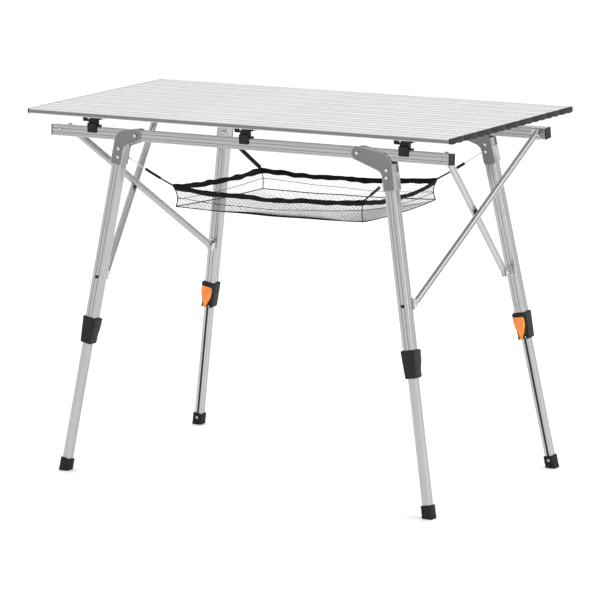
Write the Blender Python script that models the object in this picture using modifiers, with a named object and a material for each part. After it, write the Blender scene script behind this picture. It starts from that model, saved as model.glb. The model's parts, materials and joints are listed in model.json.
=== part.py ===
"""Folding picnic table: a roll-up slat top on two rails, four telescopic legs, crossed braces and a basket.

Metres, +Z up. The origin is on the floor under the middle of the top. +X runs along the slats and
+Y from the front rail to the back rail. Each rail and its two legs lie in one plane, which leans
outward towards the floor. Inside such a plane, h is the height from the rail's top edge and n is
the distance outward from the plane's middle.
"""

import math

import bmesh
import bpy
from mathutils import Matrix, Vector

NAME = "folding_picnic_table"

# Gaps
FIT = 0.0003            # between pieces that touch
SLIDE = 0.0004          # around a piece that slides in another
RAIL_CLEAR = 0.002      # under the rail, above a leg's end

# Top
TOP_LENGTH = 0.900
TOP_DEPTH = 0.424
TOP_HEIGHT = 0.669
SLAT_COUNT = 9
SLAT_THICK = 0.009
SLAT_WALL = 0.0010
SLAT_CHAMFER = 0.0012
SLAT_GAP = 0.0006

# Rails
RAIL_LENGTH = 0.852
RAIL_TOP = 0.6355
RAIL_TALL = 0.020
RAIL_WIDE = 0.018
RAIL_WALL = 0.0014
RAIL_SPACING = 0.329    # between the two rails' middles, at their top edge
LEAN = math.radians(4.6)

# Cross bars and clips
CLIP_SPACING = 0.333
BAR_WIDE = 0.026
BAR_TALL = 0.0115
BAR_WALL = 0.0012
BAR_SHORT = 0.0015      # from the rail's middle to the bar's end
CLIP_TOP_WIDE = 0.027
CLIP_LOW_WIDE = 0.023
CLIP_FLAP_WIDE = 0.019
CLIP_FLAP_THICK = 0.0028
CLIP_FLAP_DROP = 0.010

# Legs. The two ends hang at different distances from their pivots, so that they nest when folded.
PIVOT_X = {-1: 0.237, 1: 0.238}
LEG_OFFSET = {-1: 0.0300, 1: 0.0565}
SPLAY = {-1: math.radians(11.0), 1: math.radians(9.2)}
LEG_WIDE = 0.021
LEG_DEEP = 0.0175
LEG_WALL = 0.0011
LEG_END_UP = 0.265      # the upper leg's lower end, measured along the leg from the floor
LOWER_WIDE = LEG_WIDE - 0.0054
LOWER_DEEP = LEG_DEEP - 0.0045
LOWER_WALL = 0.0012
LOWER_TOP_UP = 0.335
SLEEVE_UP = 0.303
SLEEVE_LONG = 0.020

# Leg brackets
PLATE = 0.0015
BRACKET_OUTER = LEG_WIDE / 2 + 0.0020   # from the leg's middle line to the plate's outer edge
BRACKET_INNER = LEG_WIDE / 2 + 0.0003
BRACKET_PIVOT_R = 0.0125
BRACKET_TOP_SLOPE = math.radians(18)
BRACKET_LOW_SLOPE = math.radians(28)
BRACKET_TOP_R = {-1: 0.022, 1: 0.030}
BRACKET_LOW_R = {-1: 0.010, 1: 0.016}
BRACKET_LOW = {-1: 0.062, 1: 0.073}
BRACKET_WEB = 0.032

# Collars and levers
COLLAR_UP = 0.295
COLLAR_LONG = 0.050
COLLAR_TOP = (LEG_WIDE + 0.0070, LEG_DEEP + 0.0050)
COLLAR_LOW = (LEG_WIDE + 0.0005, LEG_DEEP + 0.0030)
LEVER_UP = 0.250        # the lever's pin
LEVER_LONG = 0.038
LEVER_TOP_WIDE = LEG_WIDE + 0.0020
LEVER_LOW_WIDE = 0.0090
LEVER_THICK = 0.0070
EAR_THICK = 0.0022

# Feet
FOOT_WIDE = LOWER_WIDE + 0.0034
FOOT_DEEP = LOWER_DEEP + 0.0040
FOOT_TALL = 0.0230
FOOT_FLOOR = 0.0060

# Braces and the lugs at their lower ends
BRACE_WIDE = 0.0120
BRACE_THICK = 0.0070
BRACE_WALL = 0.0010
BRACE_X = 0.4064
BRACE_H = -0.008
BRACE_RAIL_N = -0.0195
BRACE_LEG_N = -0.0235
BRACE_STEP = 0.0045     # half the distance between a crossed pair
BRACE_END = 0.006
LUG_UP = 0.3735
LUG_SIZE = (0.0180, 0.0130, 0.0045)

# Basket
BASKET_LEFT = (-0.176, 0.141, 0.529)
BASKET_RIGHT = (0.214, 0.123, 0.533)
BASKET_DEEP = 0.044
BASKET_SHRINK = 0.98
BASKET_WALL = 0.0015

SIDES = {-1: "front", 1: "back"}
ENDS = {-1: "left", 1: "right"}

FINISHES = {
    "slat_aluminium": ((0.74, 0.73, 0.71), 0.42, 1.0),
    "frame_aluminium": ((0.70, 0.70, 0.69), 0.38, 1.0),
    "bracket_steel": ((0.20, 0.20, 0.215), 0.45, 0.6),
    "black_plastic": ((0.035, 0.035, 0.036), 0.50, 0.0),
    "lever_orange": ((0.85, 0.19, 0.03), 0.42, 0.0),
    "foot_rubber": ((0.030, 0.030, 0.030), 0.75, 0.0),
    "lug_steel": ((0.52, 0.52, 0.53), 0.35, 0.9),
    "basket_net": ((0.045, 0.045, 0.048), 0.85, 0.0),
}


def clear_scene():
    for item in list(bpy.data.objects):
        bpy.data.objects.remove(item, do_unlink=True)


def collection(name):
    made = bpy.data.collections.new(name)
    bpy.context.scene.collection.children.link(made)
    return made


def material(name):
    if name in bpy.data.materials:
        return bpy.data.materials[name]
    colour, roughness, metallic = FINISHES[name]
    made = bpy.data.materials.new(name)
    made.use_nodes = True
    shader = made.node_tree.nodes["Principled BSDF"]
    shader.inputs["Base Color"].default_value = (*colour, 1.0)
    shader.inputs["Roughness"].default_value = roughness
    shader.inputs["Metallic"].default_value = metallic
    return made


def own_material(name, finish):
    """A copy of the finish for one sub-part, so that each keeps its own."""
    made = material(finish).copy()
    made.name = name + "_" + finish
    return made


def new_part(name, bm, finish, where=None):
    mesh = bpy.data.meshes.new(name)
    bmesh.ops.recalc_face_normals(bm, faces=bm.faces)
    bm.to_mesh(mesh)
    bm.free()
    item = bpy.data.objects.new(name, mesh)
    if where is None:
        where = PARTS
    where.objects.link(item)
    if finish is None:
        item.hide_render = True
        item.display_type = "WIRE"
    else:
        mesh.materials.append(own_material(name, finish))
    return item


def basis(origin, a, b, c):
    """The matrix that takes (a, b, c) distances to a point in the world."""
    columns = Matrix((a, b, c)).transposed().to_4x4()
    return Matrix.Translation(origin) @ columns


def plane_basis(side):
    """(x, h, n) of a leaning rail-and-leg plane."""
    up = Vector((0, -side * math.sin(LEAN), math.cos(LEAN)))
    out = Vector((0, side * math.cos(LEAN), math.sin(LEAN)))
    return basis(Vector((0, side * RAIL_SPACING / 2, RAIL_TOP)), Vector((1, 0, 0)), up, out)


def pivot_point(side, end):
    return plane_basis(side) @ Vector((end * PIVOT_X[end], -RAIL_TALL / 2, 0))


def leg_basis(side, end):
    """(p, n, d): p outward across the leg, n out of the plane, d down the leg from beside its pivot."""
    plane = plane_basis(side).to_3x3()
    up, out = plane.col[1], plane.col[2]
    sine, cosine = math.sin(SPLAY[end]), math.cos(SPLAY[end])
    across = Vector((end * cosine, 0, 0)) + up * sine
    down = Vector((end * sine, 0, 0)) - up * cosine
    origin = pivot_point(side, end) + across * LEG_OFFSET[end]
    return basis(origin, across, out, down)


def leg_length(end):
    """Distance down the leg's middle line from beside the pivot to the floor."""
    drop = RAIL_TOP / math.cos(LEAN) - RAIL_TALL / 2 + LEG_OFFSET[end] * math.sin(SPLAY[end])
    return drop / math.cos(SPLAY[end])


def leg_top(end):
    """Distance down the leg to its upper end, whose higher corner clears the rail."""
    sine, cosine = math.sin(SPLAY[end]), math.cos(SPLAY[end])
    return (RAIL_TALL / 2 + RAIL_CLEAR + (LEG_OFFSET[end] + LEG_WIDE / 2) * sine) / cosine


def rectangle(wide, tall, chamfer=0.0):
    """Corners of a rectangle about the middle, each cut off by chamfer."""
    x, y = wide / 2, tall / 2
    if not chamfer:
        return [(-x, -y), (x, -y), (x, y), (-x, y)]
    c = chamfer
    return [(-x + c, -y), (x - c, -y), (x, -y + c), (x, y - c), (x - c, y), (-x + c, y), (-x, y - c), (-x, -y + c)]


def arc(centre, radius, start, stop, steps):
    """Points on a circle, angles in degrees."""
    points = []
    for i in range(steps + 1):
        angle = math.radians(start + (stop - start) * i / steps)
        points.append((centre[0] + radius * math.cos(angle), centre[1] + radius * math.sin(angle)))
    return points


def outline_mesh(outlines, low, high, matrix):
    """A bmesh of flat outlines in (a, b), holes included, made solid from c = low to high."""
    curve = bpy.data.curves.new("outline", "CURVE")
    curve.dimensions = "2D"
    curve.fill_mode = "BOTH"
    curve.extrude = (high - low) / 2
    for points in outlines:
        spline = curve.splines.new("POLY")
        spline.points.add(len(points) - 1)
        for point, (a, b) in zip(spline.points, points):
            point.co = (a, b, 0, 1)
        spline.use_cyclic_u = True
    holder = bpy.data.objects.new("outline", curve)
    bpy.context.scene.collection.objects.link(holder)
    depsgraph = bpy.context.evaluated_depsgraph_get()
    mesh = bpy.data.meshes.new_from_object(holder.evaluated_get(depsgraph))
    bpy.data.objects.remove(holder, do_unlink=True)
    bm = bmesh.new()
    bm.from_mesh(mesh)
    bpy.data.meshes.remove(mesh)
    bmesh.ops.remove_doubles(bm, verts=bm.verts, dist=1e-6)
    bmesh.ops.transform(bm, matrix=matrix @ Matrix.Translation((0, 0, (low + high) / 2)), verts=bm.verts)
    return bm


def box_mesh(size, centre, matrix):
    """A bmesh box in the matrix's own axes."""
    bm = bmesh.new()
    shape = Matrix.Translation(centre) @ Matrix.Diagonal((*size, 1))
    bmesh.ops.create_cube(bm, size=1, matrix=shape)
    bmesh.ops.transform(bm, matrix=matrix, verts=bm.verts)
    return bm


def combine(item, bm, operation, name):
    """A Boolean with a hidden helper shape."""
    helper = new_part(name, bm, None, CUTTERS)
    step = item.modifiers.new(operation.lower(), "BOOLEAN")
    step.operation = operation
    step.solver = "EXACT"
    step.object = helper


def soften(item, width):
    step = item.modifiers.new("soften", "BEVEL")
    step.width = width
    step.segments = 2
    step.limit_method = "ANGLE"


def joint_empty(name, place):
    empty = bpy.data.objects.new(name, None)
    empty.location = place
    empty.empty_display_size = 0.02
    PARTS.objects.link(empty)
    return empty


def hang(items, empty):
    for item in items:
        item.parent = empty
        item.matrix_parent_inverse = Matrix.Translation(-Vector(empty.location))


# Top ------------------------------------------------------------------------------------------

def slats():
    """Hollow slats, front to back. Each turns up about its own back top edge."""
    pitch = TOP_DEPTH / SLAT_COUNT
    outer = rectangle(pitch - SLAT_GAP, SLAT_THICK, SLAT_CHAMFER)
    inner = rectangle(pitch - SLAT_GAP - 2 * SLAT_WALL, SLAT_THICK - 2 * SLAT_WALL)
    for i in range(SLAT_COUNT):
        middle = Vector((0, -TOP_DEPTH / 2 + pitch * (i + 0.5), TOP_HEIGHT - SLAT_THICK / 2))
        place = basis(middle, Vector((0, 1, 0)), Vector((0, 0, 1)), Vector((1, 0, 0)))
        bm = outline_mesh([outer, inner], -TOP_LENGTH / 2, TOP_LENGTH / 2, place)
        slat = new_part(f"slat_{i + 1}", bm, "slat_aluminium")
        hinge = Vector((0, middle.y + pitch / 2, TOP_HEIGHT))
        hang([slat], joint_empty(f"slat_{i + 1}_hinge", hinge))


def cross_bars():
    under = TOP_HEIGHT - SLAT_THICK - FIT
    half = RAIL_SPACING / 2 - BAR_SHORT
    outer = rectangle(BAR_WIDE, BAR_TALL)
    inner = rectangle(BAR_WIDE - 2 * BAR_WALL, BAR_TALL - 2 * BAR_WALL)
    for i, name in ((-1, "left"), (0, "middle"), (1, "right")):
        middle = Vector((i * CLIP_SPACING, 0, under - BAR_TALL / 2))
        place = basis(middle, Vector((1, 0, 0)), Vector((0, 0, 1)), Vector((0, 1, 0)))
        bm = outline_mesh([outer, inner], -half, half, place)
        new_part(f"cross_bar_{name}", bm, "frame_aluminium")
        for side in SIDES:
            clip(side, i * CLIP_SPACING, name, under)


def clip(side, x, name, under):
    """A block under the slats, and a flap down the rail's outer face."""
    plane = plane_basis(side)
    rail_high = (plane @ Vector((0, 0, RAIL_WIDE / 2))).z
    floor = rail_high + SLIDE
    inner_y = RAIL_SPACING / 2 - BAR_SHORT + FIT
    outer_y = RAIL_SPACING / 2 + (RAIL_WIDE / 2 + SLIDE) * math.cos(LEAN) + CLIP_FLAP_THICK
    waist = (floor + under) / 2
    block = [
        (-CLIP_TOP_WIDE / 2, under),
        (-CLIP_LOW_WIDE / 2, waist),
        (-CLIP_FLAP_WIDE / 2, waist - 0.001),
        (-CLIP_FLAP_WIDE / 2, floor),
        (CLIP_FLAP_WIDE / 2, floor),
        (CLIP_FLAP_WIDE / 2, waist - 0.001),
        (CLIP_LOW_WIDE / 2, waist),
        (CLIP_TOP_WIDE / 2, under),
    ]
    place = basis(Vector((x, 0, 0)), Vector((1, 0, 0)), Vector((0, 0, 1)), Vector((0, side, 0)))
    bm = outline_mesh([block], inner_y, outer_y, place)
    item = new_part(f"clip_{SIDES[side]}_{name}", bm, "black_plastic")
    rise = (waist + floor) / 2 - RAIL_TOP
    size = (CLIP_FLAP_WIDE - 2 * FIT, CLIP_FLAP_DROP + rise, CLIP_FLAP_THICK)
    centre = (x, (rise - CLIP_FLAP_DROP) / 2, RAIL_WIDE / 2 + SLIDE + CLIP_FLAP_THICK / 2)
    combine(item, box_mesh(size, centre, plane), "UNION", item.name + "_flap")


# Side frames ----------------------------------------------------------------------------------

def rail(side):
    plane = plane_basis(side)
    outer = rectangle(RAIL_TALL, RAIL_WIDE, 0.001)
    inner = rectangle(RAIL_TALL - 2 * RAIL_WALL, RAIL_WIDE - 2 * RAIL_WALL)
    axes = plane.to_3x3()
    middle = plane @ Vector((0, -RAIL_TALL / 2, 0))
    place = basis(middle, axes.col[1], axes.col[2], axes.col[0])
    bm = outline_mesh([outer, inner], -RAIL_LENGTH / 2, RAIL_LENGTH / 2, place)
    item = new_part(f"rail_{SIDES[side]}", bm, "frame_aluminium")
    hang([item], joint_empty(f"rail_{SIDES[side]}_slide", middle))


def tube(name, wide, deep, wall, low, high, place, finish):
    outer = rectangle(wide, deep, 0.0008)
    inner = rectangle(wide - 2 * wall, deep - 2 * wall)
    return new_part(name, outline_mesh([outer, inner], low, high, place), finish)


def bracket(side, end, place, name):
    """Two plates over rail and leg, joined by a web round the leg's outer edge."""
    offset, radius, low = LEG_OFFSET[end], BRACKET_PIVOT_R, BRACKET_LOW[end]
    top_r, low_r = BRACKET_TOP_R[end], BRACKET_LOW_R[end]
    # Each curve touches the straight edge that slopes down from the round end about the pivot.
    sine, cosine = math.sin(BRACKET_TOP_SLOPE), math.cos(BRACKET_TOP_SLOPE)
    top = (BRACKET_OUTER - top_r, (sine * (BRACKET_OUTER - top_r + offset) - radius + top_r) / cosine)
    sine, cosine = math.sin(BRACKET_LOW_SLOPE), math.cos(BRACKET_LOW_SLOPE)
    inside = offset - BRACKET_INNER - low_r
    bottom = (-BRACKET_INNER - low_r, (radius + low_r + sine * inside) / cosine)
    top_turn, low_turn = math.degrees(BRACKET_TOP_SLOPE), math.degrees(BRACKET_LOW_SLOPE)
    outline = arc((-offset, 0.0), radius, 90 + low_turn, 270 + top_turn, 12)
    outline += arc(top, top_r, top_turn - 90, 0, 7)
    corner = 0.003
    outline += [(BRACKET_OUTER, low - corner), (BRACKET_OUTER - corner, low)]
    outline += [(corner - BRACKET_INNER, low), (-BRACKET_INNER, low - corner)]
    outline += arc(bottom, low_r, 0, low_turn - 90, 6)
    grip = max(RAIL_WIDE, LEG_DEEP) / 2 + FIT
    thick = grip + PLATE
    face = basis(place.translation, place.to_3x3().col[0], place.to_3x3().col[2], place.to_3x3().col[1])
    item = new_part(name, outline_mesh([outline], -thick, thick, face), "bracket_steel")
    web = BRACKET_OUTER - PLATE
    far = 0.1
    slot = [(-far, -far), (far, -far), (far, low - BRACKET_WEB), (web, low - BRACKET_WEB), (web, far), (-far, far)]
    combine(item, outline_mesh([slot], -grip, grip, face), "DIFFERENCE", name + "_slot")
    return item


def collar(name, length, place):
    """A tapered housing round the joint of the two leg tubes, with two ears for the lever's pin."""
    top, low = length - COLLAR_UP, length - COLLAR_UP + COLLAR_LONG
    bm = bmesh.new()
    bmesh.ops.create_cube(bm, size=2)
    for vert in bm.verts:
        wide, deep = COLLAR_LOW if vert.co.z > 0 else COLLAR_TOP
        vert.co = Vector((vert.co.x * wide / 2, vert.co.y * deep / 2, low if vert.co.z > 0 else top))
    bmesh.ops.transform(bm, matrix=place, verts=bm.verts)
    item = new_part(name, bm, "black_plastic")
    soften(item, 0.0015)
    pin_n, face_n = lever_pin_n(), COLLAR_LOW[1] / 2
    for way, ear in ((-1, "ear_out"), (1, "ear_in")):
        size = (EAR_THICK, -pin_n - face_n + 0.006, 0.010)
        centre = (way * (LEVER_LOW_WIDE / 2 + SLIDE + EAR_THICK / 2), -face_n + 0.003 - size[1] / 2, length - LEVER_UP)
        combine(item, box_mesh(size, centre, place), "UNION", f"{name}_{ear}")
    end = length - LEG_END_UP
    pocket = (LEG_WIDE + 2 * FIT, LEG_DEEP + 2 * FIT, 2 * (end + FIT - top))
    combine(item, box_mesh(pocket, (0, 0, top), place), "DIFFERENCE", name + "_pocket")
    throat = (LOWER_WIDE + 2 * SLIDE, LOWER_DEEP + 2 * SLIDE, 4 * COLLAR_LONG)
    combine(item, box_mesh(throat, (0, 0, low), place), "DIFFERENCE", name + "_throat")
    return item


def lever_pin_n():
    """The lever pin's distance out of the plane, inside the collar's deeper top edge."""
    return -(COLLAR_TOP[1] / 2 + FIT + LEVER_THICK / 2)


def lever(name, length, place):
    """A flip lever: a plate with a round foot on its pin, narrow at the pin and wide at the tip."""
    radius = LEVER_THICK / 2
    profile = arc((0, 0), radius, -90, 90, 10) + [(-LEVER_LONG, radius), (-LEVER_LONG, -radius)]
    axes = place.to_3x3()
    pin = place @ Vector((0, lever_pin_n(), length - LEVER_UP))
    own = Matrix.Identity(4)
    bm = outline_mesh([profile], -LEVER_TOP_WIDE / 2, LEVER_TOP_WIDE / 2, own)
    waist = -0.008
    bmesh.ops.bisect_plane(bm, geom=bm.verts[:] + bm.edges[:] + bm.faces[:], plane_co=(waist, 0, 0), plane_no=(1, 0, 0))
    for vert in bm.verts:
        if vert.co.x > waist - 1e-5:
            vert.co.z *= LEVER_LOW_WIDE / LEVER_TOP_WIDE
    bmesh.ops.transform(bm, matrix=basis(pin, axes.col[2], axes.col[1], axes.col[0]), verts=bm.verts)
    item = new_part(name, bm, "lever_orange")
    hang([item], joint_empty(name + "_pin", pin))
    return item


def foot(name, length, place):
    """A rubber cup over the lower leg's end, cut level with the floor."""
    low = length + FOOT_TALL
    size = (FOOT_WIDE, FOOT_DEEP, FOOT_TALL + (low - length))
    bm = box_mesh(size, (0, 0, length), place)
    cut = bmesh.ops.bisect_plane(
        bm, geom=bm.verts[:] + bm.edges[:] + bm.faces[:], plane_co=(0, 0, 0), plane_no=(0, 0, -1), clear_outer=True
    )
    rim = [edge for edge in cut["geom_cut"] if isinstance(edge, bmesh.types.BMEdge)]
    bmesh.ops.contextual_create(bm, geom=rim)
    item = new_part(name, bm, "foot_rubber")
    end = length - FOOT_FLOOR
    pocket = (LOWER_WIDE + 2 * FIT, LOWER_DEEP + 2 * FIT, 4 * FOOT_TALL)
    centre = (0, 0, end + FIT - pocket[2] / 2)
    combine(item, box_mesh(pocket, centre, place), "DIFFERENCE", name + "_pocket")
    return item


def leg(side, end):
    name = f"{SIDES[side]}_{ENDS[end]}"
    place = leg_basis(side, end)
    length = leg_length(end)
    upper = tube(
        f"upper_leg_{name}", LEG_WIDE, LEG_DEEP, LEG_WALL, leg_top(end), length - LEG_END_UP, place, "frame_aluminium"
    )
    lower = tube(
        f"lower_leg_{name}",
        LOWER_WIDE,
        LOWER_DEEP,
        LOWER_WALL,
        length - LOWER_TOP_UP,
        length - FOOT_FLOOR,
        place,
        "frame_aluminium",
    )
    ring = [
        rectangle(LEG_WIDE - 2 * LEG_WALL - 2 * FIT, LEG_DEEP - 2 * LEG_WALL - 2 * FIT),
        rectangle(LOWER_WIDE + 2 * FIT, LOWER_DEEP + 2 * FIT),
    ]
    low = length - SLEEVE_UP
    sleeve = new_part(f"guide_sleeve_{name}", outline_mesh(ring, low - SLEEVE_LONG, low, place), "black_plastic")
    lug_place = (0, -LEG_DEEP / 2 - FIT - LUG_SIZE[2] / 2, length - LUG_UP)
    lug_mesh = box_mesh((LUG_SIZE[0], LUG_SIZE[2], LUG_SIZE[1]), lug_place, place)
    lug = new_part(f"brace_lug_{name}", lug_mesh, "lug_steel")
    plates = bracket(side, end, place, f"leg_bracket_{name}")
    housing = collar(f"collar_{name}", length, place)
    lever(f"lever_{name}", length, place)
    hang([upper, plates, lug, housing], joint_empty(f"leg_{name}_pivot", pivot_point(side, end)))
    hang([sleeve], joint_empty(f"sleeve_{name}_slide", place @ Vector((0, 0, low))))
    cap = foot(f"foot_{name}", length, place)
    hang([lower, cap], joint_empty(f"lower_leg_{name}_slide", place @ Vector((0, 0, length))))


# Braces ---------------------------------------------------------------------------------------

def brace(side, end):
    """A flat tube from one rail's end to the other side's leg, stepped off its pair's middle plane."""
    upper = plane_basis(side) @ Vector((end * BRACE_X, BRACE_H, BRACE_RAIL_N))
    lower = leg_basis(-side, end) @ Vector((0, BRACE_LEG_N, leg_length(end) - LUG_UP))
    along = lower - upper
    flat = Vector((along.x, 0, along.z)).normalized()
    out = Vector((0, 1, 0)).cross(flat)
    if out.x * end < 0:
        out = -out
    step = out * BRACE_STEP * side
    direction = along.normalized()
    place = basis(upper + step, direction.cross(out), out, direction)
    name = f"brace_{SIDES[side]}_{ENDS[end]}"
    item = tube(
        name, BRACE_WIDE, BRACE_THICK, BRACE_WALL, -BRACE_END, along.length + BRACE_END, place, "frame_aluminium"
    )
    hang([item], joint_empty(name + "_pivot", upper))


# Basket ---------------------------------------------------------------------------------------

def basket():
    """An open tray, wider at its left end, with sides that lean in to the bottom."""
    bm = bmesh.new()
    bmesh.ops.create_cube(bm, size=2)
    middle_x = (BASKET_LEFT[0] + BASKET_RIGHT[0]) / 2
    for vert in bm.verts:
        x, y, z = BASKET_LEFT if vert.co.x < 0 else BASKET_RIGHT
        shrink = 1.0 if vert.co.z > 0 else BASKET_SHRINK
        drop = 0.0 if vert.co.z > 0 else BASKET_DEEP
        vert.co = Vector((middle_x + (x - middle_x) * shrink, math.copysign(y * shrink, vert.co.y), z - drop))
    lid = [face for face in bm.faces if face.calc_center_median().z > BASKET_LEFT[2] - BASKET_DEEP / 4]
    bmesh.ops.delete(bm, geom=lid, context="FACES_ONLY")
    item = new_part("basket", bm, "basket_net")
    shell = item.modifiers.new("shell", "SOLIDIFY")
    shell.thickness = BASKET_WALL
    shell.offset = 0


clear_scene()
PARTS = collection(NAME)
CUTTERS = collection("cutters")
slats()
cross_bars()
for side_sign in SIDES:
    rail(side_sign)
    for end_sign in ENDS:
        leg(side_sign, end_sign)
        brace(side_sign, end_sign)
basket()
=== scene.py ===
# %% [markdown]
# # A roll-top folding table
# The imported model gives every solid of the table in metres. This lesson dresses it: each tube, plate, clip and
# the net basket gets its own detailed mesh and a finish made from nodes. Nothing changes size or place.

# %% Load the frame
import math
import random

import bmesh
import bpy
from mathutils import Matrix, Vector, noise
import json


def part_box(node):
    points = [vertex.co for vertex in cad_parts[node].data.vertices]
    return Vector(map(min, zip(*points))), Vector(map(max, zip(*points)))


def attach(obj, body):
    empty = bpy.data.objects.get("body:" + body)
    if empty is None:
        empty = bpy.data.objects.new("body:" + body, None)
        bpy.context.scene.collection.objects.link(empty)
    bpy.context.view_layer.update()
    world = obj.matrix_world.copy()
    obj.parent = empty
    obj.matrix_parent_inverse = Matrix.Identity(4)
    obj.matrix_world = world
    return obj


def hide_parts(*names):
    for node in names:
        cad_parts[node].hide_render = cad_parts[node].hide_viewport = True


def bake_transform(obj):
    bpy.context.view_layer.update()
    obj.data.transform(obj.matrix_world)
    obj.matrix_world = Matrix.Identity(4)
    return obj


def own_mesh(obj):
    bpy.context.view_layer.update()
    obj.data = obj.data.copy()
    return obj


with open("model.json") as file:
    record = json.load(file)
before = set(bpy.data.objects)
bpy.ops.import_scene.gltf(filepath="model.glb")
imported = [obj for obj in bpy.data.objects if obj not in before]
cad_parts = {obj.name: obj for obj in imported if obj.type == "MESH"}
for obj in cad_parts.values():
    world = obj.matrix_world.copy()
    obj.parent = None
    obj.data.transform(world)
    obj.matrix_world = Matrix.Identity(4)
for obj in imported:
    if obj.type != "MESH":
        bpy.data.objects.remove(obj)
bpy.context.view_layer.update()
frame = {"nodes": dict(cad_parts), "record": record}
record = frame["record"]
joints = {joint["name"]: joint for joint in record["behaviour"]["joints"]}
MM = 0.001
random.seed(5)

# %% [markdown]
# ## Camera
# A long lens from the front right, a little above the top, gives an almost parallel view, so edges that run the same
# way stay nearly parallel. The camera's axes are worked out from its turn, tilt and roll.

# %% Camera
CAMERA_PLACE = Vector((3.935, -5.934, 1.695))
CAMERA_TURN, CAMERA_TILT, CAMERA_ROLL = 0.5861, -0.1915, -0.0242
CAMERA_LENS = 238.8


def camera_matrix():
    forward = Vector(
        (
            -math.sin(CAMERA_TURN) * math.cos(CAMERA_TILT),
            math.cos(CAMERA_TURN) * math.cos(CAMERA_TILT),
            math.sin(CAMERA_TILT),
        )
    )
    level = Vector((math.cos(CAMERA_TURN), math.sin(CAMERA_TURN), 0))
    above = level.cross(forward)
    right = level * math.cos(CAMERA_ROLL) + above * math.sin(CAMERA_ROLL)
    up = above * math.cos(CAMERA_ROLL) - level * math.sin(CAMERA_ROLL)
    return Matrix.Translation(CAMERA_PLACE) @ Matrix((right, up, -forward)).transposed().to_4x4()


lens = bpy.data.cameras.new("camera")
lens.lens = CAMERA_LENS
lens.sensor_width = 36.0
lens.clip_end = 100.0
camera = bpy.data.objects.new("camera", lens)
bpy.context.scene.collection.objects.link(camera)
camera.matrix_world = camera_matrix()
bpy.context.scene.camera = camera
bpy.context.scene.view_settings.view_transform = "Standard"
print("camera at", tuple(round(v, 2) for v in CAMERA_PLACE))

# %% [markdown]
# ## Floor and light
# Bare aluminium shows what stands around it, so the light matters as much as the finish. A pale floor and a large soft
# light overhead make it bright from above. A dark card
# in front keeps the faces that look that way darker.


# %% Floor and light
def soft_light(name, place, target, size, power):
    lamp = bpy.data.lights.new(name, "AREA")
    lamp.shape = "RECTANGLE"
    lamp.size, lamp.size_y = size
    lamp.energy = power
    light = bpy.data.objects.new(name, lamp)
    bpy.context.scene.collection.objects.link(light)
    light.location = place
    light.rotation_euler = (Vector(target) - Vector(place)).to_track_quat("-Z", "Y").to_euler()
    return light


bpy.ops.object.select_all(action="DESELECT")
bpy.ops.mesh.primitive_plane_add(size=60, location=(0, 0, -0.0005))
floor = bpy.context.object
floor.name = "floor"
paper = bpy.data.materials.new("floor_paper")
paper.use_nodes = True
paper.node_tree.nodes["Principled BSDF"].inputs["Base Color"].default_value = (0.98, 0.98, 0.98, 1)
paper.node_tree.nodes["Principled BSDF"].inputs["Roughness"].default_value = 0.9
floor.data.materials.append(paper)

bpy.ops.mesh.primitive_plane_add(size=1, location=(-2.5, -8.5, 3.0), rotation=(math.pi / 2, 0, 0), scale=(16, 6, 1))
card = bpy.context.object
card.name = "dark_card"
card_paper = paper.copy()
card_paper.node_tree.nodes["Principled BSDF"].inputs["Base Color"].default_value = (0.10, 0.10, 0.10, 1)
card.data.materials.append(card_paper)

room = bpy.data.worlds.new("room")
bpy.context.scene.world = room
room.use_nodes = True
room.node_tree.nodes["Background"].inputs["Color"].default_value = (1.0, 1.0, 1.0, 1)
room.node_tree.nodes["Background"].inputs["Strength"].default_value = 1.04
soft_light("overhead", (-0.6, 1.2, 3.2), (0, 0, 0.5), (4.0, 3.0), 42)
soft_light("right_side", (3.4, 0.6, 1.4), (0, 0, 0.4), (2.0, 2.0), 36)

# %% [markdown]
# ## Finishes
# Extruded aluminium has fine lines along its length. Each piece carries an attribute named local, its own coordinates
# before it was put in place, with the third number along the piece. A noise stretched that way draws the lines, also on
# tubes that lean. Plastics and rubber get a fine grain and small changes of gloss instead.


# %% Finish helpers
def start_finish(name, colour, roughness, metallic):
    made = bpy.data.materials.new(name)
    made.use_nodes = True
    tree = made.node_tree
    shader = tree.nodes["Principled BSDF"]
    shader.inputs["Base Color"].default_value = (*colour, 1)
    shader.inputs["Roughness"].default_value = roughness
    shader.inputs["Metallic"].default_value = metallic
    return made, tree, shader


def pattern(tree, stretch, detail):
    """Noise on the piece's own coordinates; stretch gives the lines per metre each way."""
    place = tree.nodes.new("ShaderNodeAttribute")
    place.attribute_name = "local"
    scale = tree.nodes.new("ShaderNodeMapping")
    scale.inputs["Scale"].default_value = stretch
    cloud = tree.nodes.new("ShaderNodeTexNoise")
    cloud.inputs["Scale"].default_value = 1.0
    cloud.inputs["Detail"].default_value = detail
    tree.links.new(place.outputs["Vector"], scale.inputs["Vector"])
    tree.links.new(scale.outputs["Vector"], cloud.inputs["Vector"])
    return cloud.outputs["Fac"]


def spread(tree, value, low, high):
    """Turn a 0.3 to 0.7 noise into a number or a colour between low and high."""
    ramp = tree.nodes.new("ShaderNodeValToRGB")
    ramp.color_ramp.elements[0].position = 0.3
    ramp.color_ramp.elements[1].position = 0.7
    for element, wanted in zip(ramp.color_ramp.elements, (low, high)):
        element.color = (*wanted, 1) if isinstance(wanted, tuple) else (wanted, wanted, wanted, 1)
    tree.links.new(value, ramp.inputs["Fac"])
    return ramp.outputs["Color"]


def bump(tree, shader, value, strength, distance):
    relief = tree.nodes.new("ShaderNodeBump")
    relief.inputs["Strength"].default_value = strength
    relief.inputs["Distance"].default_value = distance
    tree.links.new(value, relief.inputs["Height"])
    tree.links.new(relief.outputs["Normal"], shader.inputs["Normal"])


def shade(colour, amount):
    return tuple(min(1.0, channel * amount) for channel in colour)


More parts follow.
